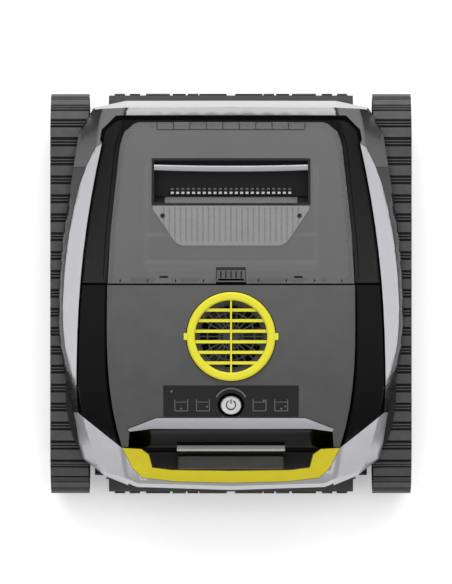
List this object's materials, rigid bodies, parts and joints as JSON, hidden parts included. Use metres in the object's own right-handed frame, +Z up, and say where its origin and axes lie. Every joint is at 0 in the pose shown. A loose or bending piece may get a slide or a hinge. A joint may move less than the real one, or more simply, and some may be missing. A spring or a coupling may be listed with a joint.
{
  "type": "pool cleaner",
  "caption": "Tracked underwater pool cleaner with a smoked filter lid, round top outlet grille, front carry handle and scrubbing brushes front and rear.",
  "frame": {"origin": "centre of the overall box, on the floor under the tracks", "axes": "+Z up, -Y to the carry handle at the front, +Y to the filter lid at the rear, +X to the right as seen from above with the lid away from the viewer"},
  "size_m": [0.43, 0.4798, 0.269],
  "materials": {
    "matte_shell": "fine moulded grain, matte",
    "gloss_black": "high gloss",
    "silver_paint": "satin metallic lacquer",
    "dark_gloss": "gloss",
    "yellow_plastic": "satin",
    "yellow_grip": "satin soft-touch",
    "smoked_window": "smoked, semi-transparent, gloss",
    "dark_plastic": "moulded, matte",
    "chassis_plastic": "moulded, matte",
    "light_plastic": "moulded, satin",
    "track_rubber": "moulded tread, matte",
    "brush_rubber": "flexible, matte",
    "wheel_plastic": "moulded, satin",
    "filter_mesh": "fine woven mesh",
    "steel": "turned",
    "motor_can": "brushed",
    "circuit": "solder-resist",
    "button_silver": "satin"
  },
  "bodies": {
    "root": {"chassis": "chassis_plastic", "deck_frame": "dark_plastic", "bottom_cover": "dark_plastic", "cover_screws": "steel", "upper_shell": "matte_shell", "left_flank": "gloss_black", "right_flank": "gloss_black", "left_blade": "silver_paint", "right_blade": "silver_paint", "left_fairing": "dark_gloss", "right_fairing": "dark_gloss", "rear_panel": "gloss_black", "front_bumper": "silver_paint", "handle_grip": "yellow_grip", "front_lip": "silver_paint", "front_fascia": "gloss_black", "fascia_trim": "silver_paint", "service_cover": "matte_shell", "hinge_base": "dark_plastic", "hinge_pin": "steel", "outlet_grille": "yellow_plastic", "propeller_guard": "dark_plastic", "pump_motor": "motor_can", "motor_housing": "dark_plastic", "battery_pack": "dark_plastic", "circuit_board": "circuit", "control_panel": "matte_shell", "button_bezel": "gloss_black", "left_belt": "track_rubber", "right_belt": "track_rubber", "wheel_axles": "steel", "left_side_cover": "dark_gloss", "right_side_cover": "dark_gloss", "left_drive_motor": "motor_can", "right_drive_motor": "motor_can", "brush_brackets": "dark_plastic"},
    "lid": {"lid_frame": "gloss_black", "lid_window": "smoked_window", "lid_scoop": "gloss_black", "scoop_bar": "silver_paint", "scoop_comb": "light_plastic", "scoop_ramp": "smoked_window"},
    "latch": {"lid_latch": "dark_plastic"},
    "filter": {"filter_basket": "dark_plastic", "filter_mesh": "filter_mesh", "filter_rim": "light_plastic"},
    "flap": {"inlet_flap": "dark_plastic"},
    "button": {"power_button": "button_silver"},
    "propeller": {"propeller": "dark_plastic", "propeller_shaft": "steel"},
    "left_front_wheel": {"left_front_wheel": "wheel_plastic"},
    "left_front_brush": {"left_front_brush": "brush_rubber"},
    "left_rear_wheel": {"left_rear_wheel": "wheel_plastic"},
    "left_rear_brush": {"left_rear_brush": "brush_rubber"},
    "left_pinion": {"left_drive_pinion": "steel"},
    "right_front_wheel": {"right_front_wheel": "wheel_plastic"},
    "right_front_brush": {"right_front_brush": "brush_rubber"},
    "right_rear_wheel": {"right_rear_wheel": "wheel_plastic"},
    "right_rear_brush": {"right_rear_brush": "brush_rubber"},
    "right_pinion": {"right_drive_pinion": "steel"}
  },
  "joints": [
    {"name": "lid_hinge", "type": "hinge", "parent": "root", "child": "lid", "pos_m": [0, 0.199, 0.196], "axis": [-1, 0, 0], "range_deg": [0, 70]},
    {"name": "latch_slide", "type": "slide", "parent": "lid", "child": "latch", "axis": [0, 1, 0], "range_m": [0, 0.003], "stiffness_N_per_m": 300},
    {"name": "filter_lift", "type": "slide", "parent": "root", "child": "filter", "axis": [0, 0, 1], "range_m": [0, 0.05]},
    {"name": "inlet_flap_hinge", "type": "hinge", "parent": "filter", "child": "flap", "pos_m": [0, 0.098, 0.047], "axis": [-1, 0, 0], "range_deg": [0, 70]},
    {"name": "power_button_press", "type": "slide", "parent": "root", "child": "button", "axis": [0, 0.454, -0.891], "range_m": [0, 0.0015], "stiffness_N_per_m": 400},
    {"name": "propeller_spin", "type": "hinge", "parent": "root", "child": "propeller", "pos_m": [0, -0.0504, 0.231], "axis": [0, 0, 1], "continuous": true},
    {"name": "left_front_wheel_spin", "type": "hinge", "parent": "root", "child": "left_front_wheel", "pos_m": [-0.192, -0.1735, 0.065], "axis": [1, 0, 0], "continuous": true},
    {"name": "left_front_brush_spin", "type": "hinge", "parent": "root", "child": "left_front_brush", "pos_m": [-0.08, -0.202, 0.0385], "axis": [1, 0, 0], "continuous": true},
    {"name": "left_rear_wheel_spin", "type": "hinge", "parent": "root", "child": "left_rear_wheel", "pos_m": [-0.192, 0.1735, 0.065], "axis": [1, 0, 0], "continuous": true},
    {"name": "left_rear_brush_spin", "type": "hinge", "parent": "root", "child": "left_rear_brush", "pos_m": [-0.08, 0.202, 0.0385], "axis": [1, 0, 0], "continuous": true},
    {"name": "left_pinion_spin", "type": "hinge", "parent": "root", "child": "left_pinion", "pos_m": [-0.157, -0.13945, 0.065], "axis": [1, 0, 0], "continuous": true},
    {"name": "right_front_wheel_spin", "type": "hinge", "parent": "root", "child": "right_front_wheel", "pos_m": [0.192, -0.1735, 0.065], "axis": [1, 0, 0], "continuous": true},
    {"name": "right_front_brush_spin", "type": "hinge", "parent": "root", "child": "right_front_brush", "pos_m": [0.08, -0.202, 0.0385], "axis": [1, 0, 0], "continuous": true},
    {"name": "right_rear_wheel_spin", "type": "hinge", "parent": "root", "child": "right_rear_wheel", "pos_m": [0.192, 0.1735, 0.065], "axis": [1, 0, 0], "continuous": true},
    {"name": "right_rear_brush_spin", "type": "hinge", "parent": "root", "child": "right_rear_brush", "pos_m": [0.08, 0.202, 0.0385], "axis": [1, 0, 0], "continuous": true},
    {"name": "right_pinion_spin", "type": "hinge", "parent": "root", "child": "right_pinion", "pos_m": [0.157, -0.13945, 0.065], "axis": [1, 0, 0], "continuous": true}
  ],
  "couplings": [
    {"joint": "filter_lift", "follows": "lid_hinge", "m_per_rad": 0.0409},
    {"joint": "left_front_brush_spin", "follows": "left_front_wheel_spin", "ratio": -1.6667},
    {"joint": "left_rear_brush_spin", "follows": "left_front_wheel_spin", "ratio": -1.6667},
    {"joint": "left_rear_wheel_spin", "follows": "left_front_wheel_spin", "ratio": 1},
    {"joint": "left_pinion_spin", "follows": "left_front_wheel_spin", "ratio": -2.5},
    {"joint": "right_front_brush_spin", "follows": "right_front_wheel_spin", "ratio": -1.6667},
    {"joint": "right_rear_brush_spin", "follows": "right_front_wheel_spin", "ratio": -1.6667},
    {"joint": "right_rear_wheel_spin", "follows": "right_front_wheel_spin", "ratio": 1},
    {"joint": "right_pinion_spin", "follows": "right_front_wheel_spin", "ratio": -2.5}
  ]
}
